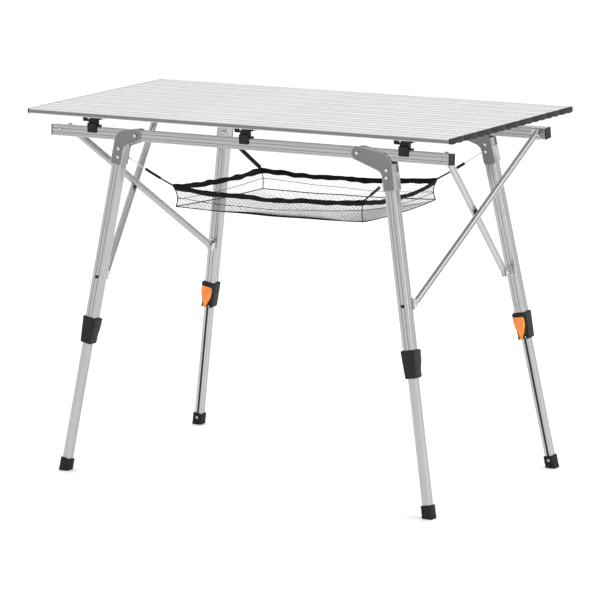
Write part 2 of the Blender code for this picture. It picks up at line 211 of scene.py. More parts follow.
def painted_recess_shade(tree, colour):
    """Painted shade in grooves and other recesses: the attribute sunk is up to 1 on their floors and 0 elsewhere."""
    depth = tree.nodes.new("ShaderNodeAttribute")
    depth.attribute_name = "sunk"
    mix = tree.nodes.new("ShaderNodeMix")
    mix.data_type = "RGBA"
    tree.links.new(depth.outputs["Fac"], mix.inputs["Factor"])
    tree.links.new(colour, mix.inputs[6])
    # painted shade: the dark grey that sunk faces are mixed toward
    mix.inputs[7].default_value = (0.15, 0.15, 0.155, 1)
    return mix.outputs[2]


def metal(name, colour, roughness, across, along, streak=0.05, metallic=1.0):
    made, tree, shader = start_finish(name, colour, roughness, metallic)
    lines = pattern(tree, (across, across, along), 4.0)
    cloudy = pattern(tree, (40, 40, 14), 2.0)
    streaks = spread(tree, lines, shade(colour, 1 - streak), shade(colour, 1 + streak))
    # the base colour gets painted shade where the piece is sunk
    tree.links.new(painted_recess_shade(tree, streaks), shader.inputs["Base Color"])
    tree.links.new(spread(tree, cloudy, roughness * 0.82, roughness * 1.18), shader.inputs["Roughness"])
    bump(tree, shader, lines, 0.12, 0.0001)
    return made


def plastic(name, colour, roughness, grain, depth, shine=0.5):
    made, tree, shader = start_finish(name, colour, roughness, 0.0)
    shader.inputs["Specular IOR Level"].default_value = shine
    grains = pattern(tree, (grain, grain, grain), 3.0)
    cloudy = pattern(tree, (60, 60, 60), 2.0)
    tree.links.new(spread(tree, cloudy, shade(colour, 0.85), shade(colour, 1.15)), shader.inputs["Base Color"])
    tree.links.new(spread(tree, grains, roughness * 0.85, roughness * 1.15), shader.inputs["Roughness"])
    bump(tree, shader, grains, 0.25, depth)
    return made


# %% Finishes
FINISH = {
    "slat_aluminium": metal("slat_aluminium_anodised", (0.60, 0.595, 0.585), 0.38, 1500, 5, 0.03),
    "frame_aluminium": metal("frame_aluminium_anodised", (0.47, 0.47, 0.468), 0.30, 1800, 6),
    "bracket_steel": metal("bracket_steel_coated", (0.48, 0.485, 0.49), 0.38, 900, 500, 0.05, 0.75),
    "lug_steel": metal("lug_steel_plated", (0.55, 0.55, 0.56), 0.30, 700, 700, 0.08),
    "rivet_steel": metal("rivet_steel_bright", (0.78, 0.78, 0.79), 0.20, 1200, 1200, 0.05),
    "black_plastic": plastic("black_plastic_grained", (0.010, 0.010, 0.011), 0.50, 2600, 0.00008, 0.25),
    "lever_orange": plastic("lever_orange_moulded", (0.95, 0.25, 0.03), 0.36, 1800, 0.00004),
    "foot_rubber": plastic("foot_rubber_matte", (0.010, 0.010, 0.011), 0.72, 1400, 0.00012, 0.25),
    "basket_tape": plastic("basket_tape_woven", (0.007, 0.007, 0.008), 0.85, 1600, 0.0002, 0.15),
    "basket_net": plastic("basket_net_thread", (0.016, 0.016, 0.018), 0.80, 3000, 0.00005, 0.2),
}
print(len(FINISH), "finishes")

# %% [markdown]
# ## Ways of working
# A few short helpers keep the later cells readable. They deselect everything, start a primitive, select faces or edges
# by a rule, run a modifier, and put a finished copy in place with its body, finish and the solid that it stands for.


# %% Helpers: start and select
def deselect():
    if bpy.context.mode != "OBJECT":
        bpy.ops.object.mode_set(mode="OBJECT")
    bpy.ops.object.select_all(action="DESELECT")


def named(name):
    """Name the new primitive and bake its size and place into its mesh."""
    bpy.ops.object.transform_apply(location=True, rotation=True, scale=True)
    item = bpy.context.object
    item.name = name
    item.data.name = name
    return item


def box(name, size, centre=(0, 0, 0)):
    deselect()
    bpy.ops.mesh.primitive_cube_add(size=1, location=centre, scale=size)
    return named(name)


def disc(name, radius, tall, centre=(0, 0, 0), turn=(0, 0, 0), sides=24):
    deselect()
    bpy.ops.mesh.primitive_cylinder_add(vertices=sides, radius=radius, depth=tall, location=centre, rotation=turn)
    return named(name)


def edit(item):
    deselect()
    item.select_set(True)
    bpy.context.view_layer.objects.active = item
    bpy.ops.object.mode_set(mode="EDIT")


def choose(item, rule, kind="FACE"):
    """Select the faces, edges or corners of the piece in edit mode that pass rule(middle, normal or direction)."""
    bpy.ops.mesh.select_mode(type=kind)
    bpy.ops.mesh.select_all(action="DESELECT")
    mesh = bmesh.from_edit_mesh(item.data)
    if kind == "FACE":
        found = [face for face in mesh.faces if rule(face.calc_center_median(), face.normal)]
    elif kind == "EDGE":
        found = [e for e in mesh.edges if rule((e.verts[0].co + e.verts[1].co) / 2, (e.verts[1].co - e.verts[0].co))]
    else:
        found = [vert for vert in mesh.verts if rule(vert.co, vert.normal)]
    for part in found:
        part.select_set(True)
    mesh.select_flush_mode()
    bmesh.update_edit_mesh(item.data)
    return len(found)


def cut(place, direction):
    """Cut the whole piece along a plane and keep both halves."""
    bpy.ops.mesh.select_all(action="SELECT")
    bpy.ops.mesh.bisect(plane_co=place, plane_no=direction)


def modify(item, kind, **settings):
    deselect()
    item.select_set(True)
    bpy.context.view_layer.objects.active = item
    step = item.modifiers.new(kind.lower(), kind)
    for key, value in settings.items():
        setattr(step, key, value)
    bpy.ops.object.modifier_apply(modifier=step.name)
    return item


def soften(item, width, segments=2, angle=35):
    return modify(item, "BEVEL", width=width, segments=segments, limit_method="ANGLE", angle_limit=math.radians(angle))


def carve(item, cutter):
    """Cut one mesh out of another, then throw the cutter away."""
    modify(item, "BOOLEAN", operation="DIFFERENCE", solver="EXACT", object=cutter)
    bpy.data.objects.remove(cutter, do_unlink=True)
    return item


def joined(name, items):
    deselect()
    for item in items:
        item.select_set(True)
    bpy.context.view_layer.objects.active = items[0]
    bpy.ops.object.join()
    items[0].name = items[0].data.name = name
    return items[0]


# %% Helpers: finish and place
def finish_master(item, angle=35, sunk=None):
    """Smooth the shading up to an angle. Keep the piece's own coordinates, and how sunk each corner is, which sets its
    painted shade.
    """
    deselect()
    item.select_set(True)
    bpy.context.view_layer.objects.active = item
    bpy.ops.object.shade_smooth_by_angle(angle=math.radians(angle))
    places = item.data.attributes.new("local", "FLOAT_VECTOR", "POINT")
    for vert, place in zip(item.data.vertices, places.data):
        place.vector = vert.co
    # how sunk a corner is sets how much painted shade its colour gets
    depths = item.data.attributes.new("sunk", "FLOAT", "POINT")
    for vert, depth in zip(item.data.vertices, depths.data):
        depth.value = sunk(vert.co) if sunk else 0.0
    return item


def in_grooves(wide, deep, grooves, strength=0.75):
    """A rule for finish_master: strength of painted shade on the floor of each groove of a tube, 0 elsewhere."""
    floors = []
    for face, middle, width, depth in grooves:
        along, over = (1, 0) if face[1] == "x" else (0, 1)
        edge = (wide, deep)[over] / 2 - depth
        floors.append((over, along, edge if face[0] == "+" else -edge, middle, width / 2))

    def rule(corner):
        for over, along, edge, middle, half in floors:
            if abs(corner[over] - edge) < 0.02 * MM and abs(corner[along] - middle) < half + 0.02 * MM:
                return strength
        return 0.0

    return rule


def place(master, name, matrix, body, finish, *stands_for):
    item = bpy.data.objects.new(name, master.data.copy())
    bpy.context.scene.collection.objects.link(item)
    item.data.name = name
    item.data.transform(matrix)
    if matrix.determinant() < 0:
        item.data.flip_normals()
    item.data.materials.clear()
    item.data.materials.append(FINISH[finish])
    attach(item, body)
    if stands_for:
        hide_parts(*stands_for)
    return item


def forget(*masters):
    for master in masters:
        bpy.data.objects.remove(master, do_unlink=True)


def axes(origin, a, b, c):
    return Matrix.Translation(origin) @ Matrix((a, b, c)).transposed().to_4x4()


def reach(node, matrix):
    """Lowest and highest corner of a solid in a piece's own axes."""
    back = matrix.inverted()
    points = [back @ vert.co for vert in frame["nodes"][node].data.vertices]
    return [Vector([pick(p[i] for p in points) for i in range(3)]) for pick in (min, max)]


# %% [markdown]
# ## Frames of the leaning pieces
# Each side frame leans outward and each leg splays, so nothing is square to the world. A leg's own axes are across the
# leg, out of the side frame, and up the leg from the floor. They come from the leg's fold, height and lever joints.

# %% Leg and rail frames
SIDES = {"front": -1, "back": 1}
ENDS = {"left": -1, "right": 1}
LEVER_PIN_OUT = 14.75 * MM
LEVER_PIN_UP = 250 * MM


def leg_axes(side, end):
    leg = f"{side}_{end}"
    down = Vector(joints[f"height_{leg}"]["axis"])
    out = Vector(joints[f"fold_{leg}"]["axis"])
    if out.y * SIDES[side] < 0:
        out.negate()
    across = out.cross(down)
    if across.x * ENDS[end] < 0:
        across.negate()
    pin = Vector(joints[f"lever_{leg}_flip"]["pos_m"])
    foot = pin + out * LEVER_PIN_OUT + down * LEVER_PIN_UP
    return axes(foot, across, out, -down)


def rail_axes(side):
    low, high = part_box(f"rail_{side}")
    out = leg_axes(side, "left").to_3x3().col[1]
    up = Vector((1, 0, 0)).cross(out)
    if up.z < 0:
        up.negate()
    return axes((low + high) / 2, up, out, Vector((1, 0, 0)))


LEGS = [(side, end) for side in SIDES for end in ENDS]
print("leg leans", round(math.degrees(math.asin(abs(leg_axes("front", "left").col[1].z))), 1), "degrees")

# %% [markdown]
# ## Extruded tubes
# All the tubes come from a die, so one helper makes them. It lays down a flat plate the size of the section and rounds
# its corners. It cuts the plate along every wall and groove, deletes what the section leaves open and extrudes the rest.


# %% Extruded tube helper
def tube(name, wide, deep, low, high, wall=None, grooves=(), corner=0.8 * MM):
    """grooves: (face, middle, width, depth) with face '+x', '-x', '+y' or '-y'."""
    deselect()
    bpy.ops.mesh.primitive_plane_add(size=1, location=(0, 0, 0))
    bpy.context.object.scale = (wide, deep, 1)
    item = named(name)
    edit(item)
    bpy.ops.mesh.select_all(action="SELECT")
    bpy.ops.mesh.bevel(offset=corner, segments=3, affect="VERTICES")
    open_parts = []
    if wall:
        open_parts.append((-wide / 2 + wall, wide / 2 - wall, -deep / 2 + wall, deep / 2 - wall))
    for face, middle, width, depth in grooves:
        edge = (wide if face[1] == "x" else deep) / 2
        sunk = (edge - depth, edge + MM) if face[0] == "+" else (-edge - MM, -edge + depth)
        side = (middle - width / 2, middle + width / 2)
        open_parts.append((*sunk, *side) if face[1] == "x" else (*side, *sunk))
    for x0, x1, y0, y1 in open_parts:
        for x in (x0, x1):
            cut((x, 0, 0), (1, 0, 0))
        for y in (y0, y1):
            cut((0, y, 0), (0, 1, 0))

    def left_open(middle, _):
        return any(x0 < middle.x < x1 and y0 < middle.y < y1 for x0, x1, y0, y1 in open_parts)

    if choose(item, left_open):
        bpy.ops.mesh.delete(type="FACE")
    bpy.ops.mesh.select_all(action="SELECT")
    bpy.ops.transform.translate(value=(0, 0, low))
    bpy.ops.mesh.extrude_region_move(TRANSFORM_OT_translate={"value": (0, 0, high - low)})
    bpy.ops.mesh.select_all(action="SELECT")
    bpy.ops.mesh.normals_make_consistent(inside=False)
    bpy.ops.mesh.dissolve_limited(angle_limit=math.radians(0.5))
    bpy.ops.object.mode_set(mode="OBJECT")
    return item


# %% [markdown]
# ## Tabletop
# Nine hollow slats lie side by side and hinge on the cords inside them, so the top rolls up. Fine grooves along each
# slat hide scratches. One slat is made and copied nine times.

# %% Slats
CAP_THICK = 3 * MM
SLAT_GROOVES = [("+y", m * MM, 2.4 * MM, 0.5 * MM) for m in (-11.6, 11.6)]
EDGE_GROOVES = [(face, -0.3 * MM, 5.6 * MM, 0.5 * MM) for face in ("+x", "-x")]
slat_low, slat_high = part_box("slat_1")
slat_size = slat_high - slat_low
half_length = slat_size.x / 2 - CAP_THICK
slat = tube(
    "slat",
    slat_size.y,
    slat_size.z,
    -half_length,
    half_length,
    1.2 * MM,
    SLAT_GROOVES + EDGE_GROOVES + [("-y", m * MM, 9 * MM, 0.6 * MM) for m in (-12, 12)],
    1.0 * MM,
)
# painted shade on the floors of the top grooves and, darker, the edge grooves
on_top = in_grooves(slat_size.y, slat_size.z, SLAT_GROOVES, 0.38)
on_edges = in_grooves(slat_size.y, slat_size.z, EDGE_GROOVES, 0.85)
finish_master(slat, 35, lambda corner: max(on_top(corner), on_edges(corner)))


def slat_axes(number):
    low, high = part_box(f"slat_{number}")
    return axes((low + high) / 2, Vector((0, 1, 0)), Vector((0, 0, 1)), Vector((1, 0, 0)))


def slat_body(number):
    return "top" if number == 9 else f"slat_{number}"


for number in range(1, 10):
    place(slat, f"slat_{number}_profile", slat_axes(number), slat_body(number), "slat_aluminium", f"slat_{number}")
print("slats", tuple(round(v * 1000, 1) for v in slat_size), "mm")

# %% [markdown]
# Black caps close the slats. Their lower edge is scalloped, two waves for each slat. A plate is divided into columns,
# the lower corners of each column are moved up or down along the wave, and the plate is then extruded.

# %% Slat end caps
WAVE_COLUMNS = 24
deselect()
bpy.ops.mesh.primitive_grid_add(x_subdivisions=WAVE_COLUMNS, y_subdivisions=1, size=1)
bpy.context.object.scale = (slat_size.y - 0.2 * MM, slat_size.z, 1)
cap = named("slat_cap")
edit(cap)
for column in range(WAVE_COLUMNS + 1):
    along = column / WAVE_COLUMNS
    x = (along - 0.5) * (slat_size.y - 0.2 * MM)
    choose(cap, lambda middle, _: abs(middle.x - x) < 1e-5 and middle.y < 0, "VERT")
    drop = 1.9 * MM * abs(math.sin(2 * math.pi * along)) ** 0.6 - 0.3 * MM
    bpy.ops.transform.translate(value=(0, -drop, 0))
bpy.ops.mesh.select_all(action="SELECT")
bpy.ops.mesh.extrude_region_move(TRANSFORM_OT_translate={"value": (0, 0, CAP_THICK)})
bpy.ops.mesh.select_all(action="SELECT")
bpy.ops.mesh.normals_make_consistent(inside=False)
bpy.ops.mesh.dissolve_limited(angle_limit=math.radians(0.5))
bpy.ops.object.mode_set(mode="OBJECT")
soften(cap, 0.5 * MM)
finish_master(cap)
for number in range(1, 10):
    for end, sign in ENDS.items():
        move = Matrix.Translation((0, 0, half_length)) if sign > 0 else Matrix.Translation((0, 0, -half_length - CAP_THICK))
        place(cap, f"slat_{number}_cap_{end}", slat_axes(number) @ move, slat_body(number), "black_plastic")
forget(slat, cap)

# %% [markdown]
# ## Cross bars and clips
# Three cross bars carry the slats and snap onto the rails with black clips. A clip is a wedge under the slats, a neck
# and a hooked flap down the rail's outer face, with a screw and a thumb tab.

# %% Cross bars
for name in ("left", "middle", "right"):
    low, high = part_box(f"cross_bar_{name}")
    size = high - low
    grooves = [("-y", m * MM, 1.0 * MM, 0.4 * MM) for m in (-5, 5)] + [("+x", 0, 2 * MM, 0.4 * MM)]
    bar = tube(f"bar_{name}", size.x, size.z, -size.y / 2, size.y / 2, 1.2 * MM, grooves)
    # painted shade on the groove floors
    finish_master(bar, 35, in_grooves(size.x, size.z, grooves))
    matrix = axes((low + high) / 2, Vector((1, 0, 0)), Vector((0, 0, 1)), Vector((0, -1, 0)))
    place(bar, f"cross_bar_{name}_profile", matrix, "top", "frame_aluminium", f"cross_bar_{name}")
    forget(bar)
print("cross bars", round(size.y * 1000), "mm long")

# %% Clips
clip_low, clip_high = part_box("clip_back_middle")
CLIP_TALL = clip_high.z - clip_low.z
CLIP_DEEP = clip_high.y - clip_low.y
NECK_UP = 10 * MM
RISE = CLIP_TALL - NECK_UP

wedge = box("clip", (26 * MM, CLIP_DEEP - 1.5 * MM, RISE * 0.55), (-5 * MM, CLIP_DEEP / 2, NECK_UP + RISE * 0.72))
edit(wedge)
choose(wedge, lambda middle, normal: normal.z > 0.9)
bpy.ops.transform.resize(value=(30 / 26, 1, 1))
bpy.ops.mesh.inset(thickness=0.8 * MM)
choose(wedge, lambda middle, normal: normal.y > 0.9)
bpy.ops.mesh.inset(thickness=2.2 * MM)
bpy.ops.transform.translate(value=(0, -0.8 * MM, 0))
bpy.ops.object.mode_set(mode="OBJECT")
neck = box("neck", (18 * MM, CLIP_DEEP - 5 * MM, RISE * 0.6), (0, CLIP_DEEP / 2 - 2 * MM, NECK_UP + RISE * 0.3 + 0.3 * MM))
flap = box("flap", (19 * MM, 2.8 * MM, 17 * MM), (0, CLIP_DEEP - 2.2 * MM, 8.6 * MM))
edit(flap)
choose(flap, lambda middle, normal: normal.y > 0.9)
bpy.ops.mesh.inset(thickness=2.5 * MM)
bpy.ops.transform.translate(value=(0, -0.6 * MM, 0))
bpy.ops.object.mode_set(mode="OBJECT")
tab = box("tab", (16 * MM, 8 * MM, 3.4 * MM), (9 * MM, CLIP_DEEP - 7 * MM, NECK_UP + 2.5 * MM))
rib = box("rib", (5 * MM, CLIP_DEEP - 3 * MM, 7 * MM), (-6 * MM, CLIP_DEEP / 2 - 0.4 * MM, NECK_UP + 4.2 * MM))
for part in (wedge, neck, flap, tab, rib):
    soften(part, 0.5 * MM)
clip = joined("clip", [wedge, neck, flap, tab, rib])
finish_master(clip)
screw = disc("screw", 2.4 * MM, 1.2 * MM, (-5 * MM, CLIP_DEEP - 0.9 * MM, NECK_UP + RISE * 0.72), (math.pi / 2, 0, 0))
edit(screw)
choose(screw, lambda middle, normal: normal.y > 0.9)
bpy.ops.mesh.inset(thickness=1.0 * MM)
bpy.ops.transform.translate(value=(0, -0.5 * MM, 0))
bpy.ops.object.mode_set(mode="OBJECT")
soften(screw, 0.2 * MM)
finish_master(screw)
for side, sign in SIDES.items():
    for name in ("left", "middle", "right"):
        low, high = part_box(f"clip_{side}_{name}")
        inner = low.y if sign > 0 else high.y
        matrix = axes(Vector(((low.x + high.x) / 2, inner, low.z)), Vector((1, 0, 0)), Vector((0, sign, 0)), Vector((0, 0, 1)))
        place(clip, f"clip_{side}_{name}_moulding", matrix, "top", "black_plastic", f"clip_{side}_{name}")
        place(screw, f"clip_{side}_{name}_screw", matrix, "top", "lug_steel")
forget(clip, screw)
print("clip is", round(CLIP_TALL * 1000, 1), "mm tall")

# %% [markdown]
# ## Rails
# A rail is a square tube with a sunk band and two fine lines along each face. Black plugs close its ends, and a rivet
# near each end holds a brace.

# %% Rails, plugs and rivets
PLUG_THICK = 2.5 * MM
BRACE_ALONG = 406.4 * MM


def rivet_master(radius, tall):
    """A low domed head on a flat ring, standing on z = 0."""
    ring = disc("rivet", radius, tall * 0.35, (0, 0, tall * 0.175))
    head = disc("head", radius * 0.66, tall, (0, 0, tall / 2))
    edit(head)
    choose(head, lambda middle, normal: normal.z > 0.9)
    bpy.ops.mesh.bevel(offset=tall * 0.5, segments=4)
    choose(head, lambda middle, normal: normal.z > 0.99)
    bpy.ops.mesh.inset(thickness=radius * 0.18)
    bpy.ops.transform.translate(value=(0, 0, -tall * 0.35))
    bpy.ops.object.mode_set(mode="OBJECT")
    soften(ring, tall * 0.1)
    # painted shade on the outer ring round the rivet head
    return finish_master(joined("rivet", [ring, head]), 35, lambda corner: 0.85 if corner.to_2d().length > radius * 0.75 else 0.0)


rivet = rivet_master(3.4 * MM, 1.8 * MM)
for side, sign in SIDES.items():
    matrix = rail_axes(side)
    low, high = reach(f"rail_{side}", matrix)
    size = high - low
    body = f"{side}_rail"
    grooves = [(face, m * MM, w * MM, d * MM) for face in ("+y", "-y") for m, w, d in ((-3.4, 1.6, 0.9), (3.4, 1.6, 0.9), (7.4, 0.7, 0.5), (-7.4, 0.7, 0.5))]
    bar = tube("rail", size.x, size.y, low.z + PLUG_THICK, high.z - PLUG_THICK, 1.4 * MM, grooves, 1.0 * MM)
    # painted shade on the groove floors
    finish_master(bar, 35, in_grooves(size.x, size.y, grooves, 0.6))
    place(bar, f"rail_{side}_profile", matrix, body, "frame_aluminium", f"rail_{side}")
    plug = box("plug", (size.x, size.y, PLUG_THICK), (0, 0, high.z - PLUG_THICK / 2))
    edit(plug)
    choose(plug, lambda middle, normal: normal.z > 0.9)
    bpy.ops.mesh.inset(thickness=1.6 * MM)
    bpy.ops.transform.translate(value=(0, 0, -0.6 * MM))
    bpy.ops.object.mode_set(mode="OBJECT")
    soften(plug, 0.5 * MM)
    finish_master(plug)
    place(plug, f"rail_{side}_plug_right", matrix, body, "black_plastic")
    place(plug, f"rail_{side}_plug_left", matrix @ Matrix.Diagonal((1, 1, -1, 1)), body, "black_plastic")
    for end, way in ENDS.items():
        spot = Matrix.Translation((2 * MM, size.y / 2 - 0.5 * MM, way * BRACE_ALONG))
        place(rivet, f"rail_{side}_rivet_{end}", matrix @ spot @ Matrix.Rotation(-math.pi / 2, 4, "X"), body, "rivet_steel")
    forget(bar, plug)
print("rails", round(size.z * 1000), "mm long")

# %% [markdown]
# ## Legs
# The upper leg is a ribbed tube with a plug on top. The lower leg slides in it and has a black strip let into the face
# that looks inward. A small black button marks the rivet of the brace's lug.

# %% Leg tubes
LUG_UP = 373.5 * MM
for side, end in LEGS:
    leg = f"{side}_{end}"
    matrix = leg_axes(side, end)
    body = f"leg_{leg}"
    low, high = reach(f"upper_leg_{leg}", matrix)
    size = high - low
    plug_tall = 3 * MM
    grooves = [(f, m * MM, w * MM, 0.7 * MM) for f in ("+y", "-y") for m, w in ((-3.4, 1.6), (3.4, 1.6))]
    grooves += [(f, m * MM, 0.9 * MM, 0.35 * MM) for f in ("+x", "-x") for m in (-3.2, 3.2)]
    bar = tube("upper", size.x, size.y, low.z, high.z - plug_tall, 1.3 * MM, grooves, 1.1 * MM)
    # painted shade on the groove floors
    finish_master(bar, 35, in_grooves(size.x, size.y, grooves, 0.42))
    place(bar, f"upper_leg_{leg}_profile", matrix, body, "frame_aluminium", f"upper_leg_{leg}")
    plug = box("plug", (size.x, size.y, plug_tall), (0, 0, high.z - plug_tall / 2))
    edit(plug)
    choose(plug, lambda middle, normal: normal.z > 0.9)
    bpy.ops.mesh.inset(thickness=2 * MM)
    bpy.ops.transform.translate(value=(0, 0, -0.8 * MM))
    bpy.ops.object.mode_set(mode="OBJECT")
    soften(plug, 0.8 * MM)
    finish_master(plug)
    place(plug, f"upper_leg_{leg}_plug", matrix, body, "black_plastic")
    button = disc("button", 3.0 * MM, 2 * MM, (0, size.y / 2 + 0.3 * MM, LUG_UP - 2 * MM), (math.pi / 2, 0, 0))
    edit(button)
    choose(button, lambda middle, normal: normal.y > 0.9)
    bpy.ops.mesh.inset(thickness=0.8 * MM)
    bpy.ops.transform.translate(value=(0, -0.5 * MM, 0))
    bpy.ops.object.mode_set(mode="OBJECT")
    finish_master(button)
    place(button, f"upper_leg_{leg}_button", matrix, body, "black_plastic")

    low, high = reach(f"lower_leg_{leg}", matrix)
    size = high - low
    grooves = [("-y", 0, 4.4 * MM, 0.9 * MM), ("+y", 0, 3.0 * MM, 0.3 * MM)]
    grooves += [(f, 0, 4.0 * MM, 0.3 * MM) for f in ("+x", "-x")]
    inner = tube("lower", size.x, size.y, low.z, high.z, 1.4 * MM, grooves, 0.9 * MM)
    finish_master(inner)
    place(inner, f"lower_leg_{leg}_profile", matrix, f"lower_leg_{leg}", "frame_aluminium", f"lower_leg_{leg}")
    strip = box("strip", (4.3 * MM, 0.8 * MM, size.z - 6 * MM), (0, -size.y / 2 + 0.45 * MM, (low.z + high.z) / 2))
    edit(strip)
    choose(strip, lambda middle, normal: normal.y < -0.9)
    bpy.ops.mesh.inset(thickness=0.5 * MM)
    bpy.ops.transform.translate(value=(0, -0.2 * MM, 0))
    bpy.ops.object.mode_set(mode="OBJECT")
    finish_master(strip)
    place(strip, f"lower_leg_{leg}_strip", matrix, f"lower_leg_{leg}", "black_plastic")
    forget(bar, plug, button, inner, strip)
print("lower leg", round(size.z * 1000), "mm")

# %% [markdown]
# The guide sleeve is a plastic ring between the two tubes. It never shows, but it takes up their play, so it gets
# grip ribs and a finish as well.

# %% Guide sleeves
for side, end in LEGS:
    leg = f"{side}_{end}"
    matrix = leg_axes(side, end)
    low, high = reach(f"guide_sleeve_{leg}", matrix)
    size = high - low
    ribs = [(f, m * MM, 1.0 * MM, 0.3 * MM) for f in ("+x", "-x", "+y", "-y") for m in (-3, 3)]
    sleeve = tube("sleeve", size.x, size.y, low.z, high.z, 1.0 * MM, ribs, 0.4 * MM)
    finish_master(sleeve)
    place(sleeve, f"guide_sleeve_{leg}_ring", matrix, f"guide_{leg}", "black_plastic", f"guide_sleeve_{leg}")
    forget(sleeve)
print("4 guide sleeves")

# %% [markdown]
# ## Leg brackets
# Two pressed plates and a web hold each leg to its rail. The solid's outline is right already, so a copy of it is
# merged, its flat outer faces are inset, and the inner part is pushed in to leave a raised rim.

# %% Leg brackets and their rivets
big_rivet = rivet_master(4.2 * MM, 2.0 * MM)
RIM = 1.8 * MM
RIVET_DROP = {"left": (32, 47), "right": (36, 49)}
for side, end in LEGS:
    leg = f"{side}_{end}"
    matrix = leg_axes(side, end)
    out = matrix.to_3x3().col[1]
    source = frame["nodes"][f"leg_bracket_{leg}"]
    item = bpy.data.objects.new("bracket", source.data.copy())
    bpy.context.scene.collection.objects.link(item)
    item.data.transform(matrix.inverted())
    if matrix.determinant() < 0:
        item.data.flip_normals()
    edit(item)
    bpy.ops.mesh.select_all(action="SELECT")
    bpy.ops.mesh.remove_doubles(threshold=1e-6)
    bpy.ops.mesh.dissolve_limited(angle_limit=math.radians(0.5))
    thick = max(vert.co.y for vert in item.data.vertices)
    for way in (-1, 1):
        choose(item, lambda middle, normal: normal.y * way > 0.99 and middle.y * way > thick - 0.2 * MM)
        bpy.ops.mesh.inset(thickness=RIM)
        bpy.ops.transform.translate(value=(0, -way * 0.45 * MM, 0))
    bpy.ops.object.mode_set(mode="OBJECT")
    # painted shade on the pushed-in faces inside the raised rim
    finish_master(item, 30, lambda corner: 0.82 if thick - 0.6 * MM < abs(corner.y) < thick - 0.3 * MM else 0.0)
    place(item, f"leg_bracket_{leg}_plates", matrix, f"leg_{leg}", "bracket_steel", f"leg_bracket_{leg}")
    forget(item)
    pivot = matrix.inverted() @ Vector(joints[f"fold_{leg}"]["pos_m"])
    for way, face in ((-1, "in"), (1, "out")):
        turn = Matrix.Rotation(-way * math.pi / 2, 4, "X")
        face_y = way * (thick - 0.45 * MM)
        spots = [(pivot.x, pivot.z)] + [(-2 * MM if i else 0, pivot.z - drop * MM) for i, drop in enumerate(RIVET_DROP[end])]
        for i, (x, z) in enumerate(spots):
            spot = Matrix.Translation((x, face_y, z)) @ turn
            place(big_rivet, f"leg_bracket_{leg}_rivet_{face}_{i + 1}", matrix @ spot, f"leg_{leg}", "rivet_steel")
print("bracket plates", round(thick * 2000, 1), "mm apart outside")

# %% [markdown]
# ## Collars and levers
# A tapered black collar joins the two tubes. Cheeks frame the orange lever, which turns on a bright pin and presses on
# the lower leg. The collar starts as a box whose lower end is scaled down, and boxes cut its openings.

# %% Collars
collar_low, collar_high = reach("collar_front_left", leg_axes("front", "left"))
COLLAR_LOW_UP, COLLAR_TOP_UP = 245 * MM, 295 * MM
COLLAR_TALL = COLLAR_TOP_UP - COLLAR_LOW_UP
COLLAR_MID = (COLLAR_LOW_UP + COLLAR_TOP_UP) / 2

shell = box("collar", (28 * MM, 22.5 * MM, COLLAR_TALL), (0, 0, COLLAR_MID))
edit(shell)
choose(shell, lambda middle, normal: normal.z < -0.9)
bpy.ops.transform.resize(value=(0.79, 0.92, 1))
for face in (lambda m, n: n.y > 0.9, lambda m, n: n.x > 0.9, lambda m, n: n.x < -0.9):
    choose(shell, face)
    bpy.ops.mesh.inset(thickness=3.0 * MM)
    direction = bmesh.from_edit_mesh(shell.data).faces
    normal = next(f.normal.copy() for f in direction if f.select)
    bpy.ops.transform.translate(value=normal * 0.5 * MM)
bpy.ops.object.mode_set(mode="OBJECT")
soften(shell, 2.2 * MM, 4, 50)

cheeks = box("cheeks", (27.5 * MM, 2.8 * MM, 46 * MM), (0, -12.2 * MM, COLLAR_LOW_UP + 25.5 * MM))
edit(cheeks)
choose(cheeks, lambda middle, normal: normal.z < -0.9)
bpy.ops.transform.resize(value=(0.62, 1, 1))
bpy.ops.object.mode_set(mode="OBJECT")
bay = box("bay", (24.2 * MM, 20 * MM, 60 * MM), (0, -21.4 * MM, COLLAR_LOW_UP + 12.5 * MM))
edit(bay)
choose(bay, lambda middle, normal: normal.z < -0.9)
bpy.ops.transform.resize(value=(0.24, 1, 1))
bpy.ops.object.mode_set(mode="OBJECT")
soften(bay, 3 * MM, 3, 50)
carve(cheeks, bay)
soften(cheeks, 0.5 * MM, 2, 40)
collar = joined("collar", [shell, cheeks])
carve(collar, box("pocket", (21.6 * MM, 18.1 * MM, 60 * MM), (0, 0, 264.7 * MM + 30 * MM)))
carve(collar, box("throat", (16.4 * MM, 13.8 * MM, 140 * MM), (0, 0, COLLAR_MID)))
finish_master(collar, 40)

pin = disc("pin", 1.7 * MM, 15.6 * MM, (0, -LEVER_PIN_OUT, LEVER_PIN_UP), (0, math.pi / 2, 0))
edit(pin)
choose(pin, lambda middle, normal: abs(normal.x) > 0.9)
bpy.ops.mesh.inset(thickness=0.6 * MM)
bpy.ops.object.mode_set(mode="OBJECT")
soften(pin, 0.3 * MM)
finish_master(pin)
ears = []
for way in (-1, 1):
    ear = disc("ear", 4.4 * MM, 2.2 * MM, (way * 5.6 * MM, -LEVER_PIN_OUT, LEVER_PIN_UP), (0, math.pi / 2, 0))
    web = box("web", (2.2 * MM, 7 * MM, 8.8 * MM), (way * 5.6 * MM, -LEVER_PIN_OUT + 3.5 * MM, LEVER_PIN_UP))
    ears += [soften(ear, 0.4 * MM), soften(web, 0.3 * MM)]
ears = finish_master(joined("ears", ears))
for side, end in LEGS:
    leg = f"{side}_{end}"
    matrix = leg_axes(side, end)
    place(collar, f"collar_{leg}_moulding", matrix, f"leg_{leg}", "black_plastic", f"collar_{leg}")
    place(ears, f"collar_{leg}_ears", matrix, f"leg_{leg}", "black_plastic")
    place(pin, f"collar_{leg}_pin", matrix, f"leg_{leg}", "rivet_steel")
forget(collar, ears, pin)
print("collar", round(COLLAR_TALL * 1000), "mm tall")

